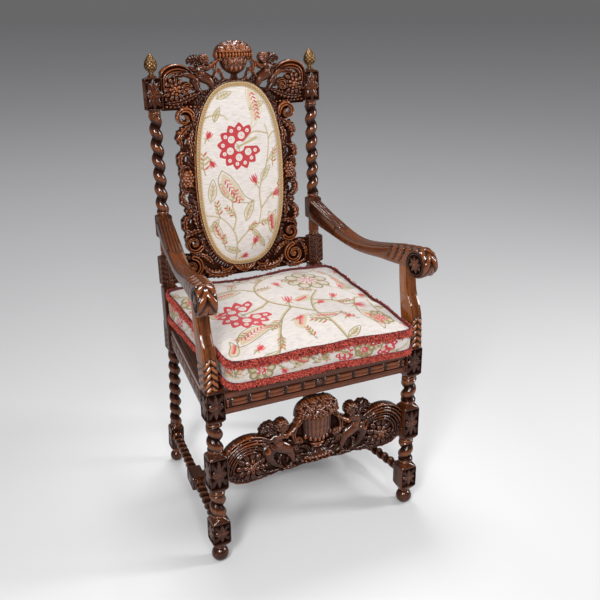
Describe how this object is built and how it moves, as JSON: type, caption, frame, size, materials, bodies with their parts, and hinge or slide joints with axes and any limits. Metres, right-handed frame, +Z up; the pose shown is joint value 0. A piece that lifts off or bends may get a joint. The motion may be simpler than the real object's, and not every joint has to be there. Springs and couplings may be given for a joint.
{
  "type": "carved open armchair",
  "caption": "High-backed carved armchair with barley-twist legs, an oval upholstered back, scrolled arms and a loose boxed cushion.",
  "frame": {"origin": "middle of the chair's box, on the floor", "axes": "+Z up, +X to the right of someone facing the chair, the sitter faces -Y"},
  "size_m": [0.6276, 0.5807, 1.2262],
  "materials": {
    "carved_wood": "dark stained, carved and wax polished walnut, blackened in the cuts",
    "turned_wood": "dark stained, turned and french polished walnut",
    "arm_wood": "stained walnut rubbed to a warm brown by hands",
    "seat_timber": "plain dark stained boards and glue blocks",
    "crewel_fabric": "cream slubbed cloth with woven red and olive flowers",
    "moss_fringe": "coral red cut moss fringe",
    "gimp_braid": "gold scroll gimp braid",
    "back_lining": "plain linen lining",
    "webbing": "woven jute webbing",
    "finial_brass": "aged cast brass"
  },
  "bodies": {
    "frame": {"front_leg_left": "turned_wood", "rear_post_left": "turned_wood", "side_stretcher_left": "turned_wood", "side_seat_rail_left": "carved_wood", "back_side_carving_left": "carved_wood", "arm_left": "arm_wood", "arm_support_left": "arm_wood", "finial_left": "finial_brass", "front_leg_right": "turned_wood", "rear_post_right": "turned_wood", "side_stretcher_right": "turned_wood", "side_seat_rail_right": "carved_wood", "back_side_carving_right": "carved_wood", "arm_right": "arm_wood", "arm_support_right": "arm_wood", "finial_right": "finial_brass", "cross_stretcher": "turned_wood", "front_seat_rail": "carved_wood", "front_stretcher_panel": "carved_wood", "crest_rail": "carved_wood", "lower_back_rail": "carved_wood", "rear_seat_rail": "seat_timber", "seat_board": "seat_timber", "corner_blocks": "seat_timber", "back_pad": "crewel_fabric", "back_gimp": "gimp_braid", "back_cover": "back_lining", "back_webbing": "webbing"},
    "cushion": {"seat_cushion": "crewel_fabric", "cushion_fringe_top": "moss_fringe", "cushion_fringe_bottom": "moss_fringe"}
  },
  "joints": [
    {"name": "cushion_lift", "type": "slide", "parent": "frame", "child": "cushion", "axis": [0, 0, 1], "range_m": [0, 0.075]}
  ]
}
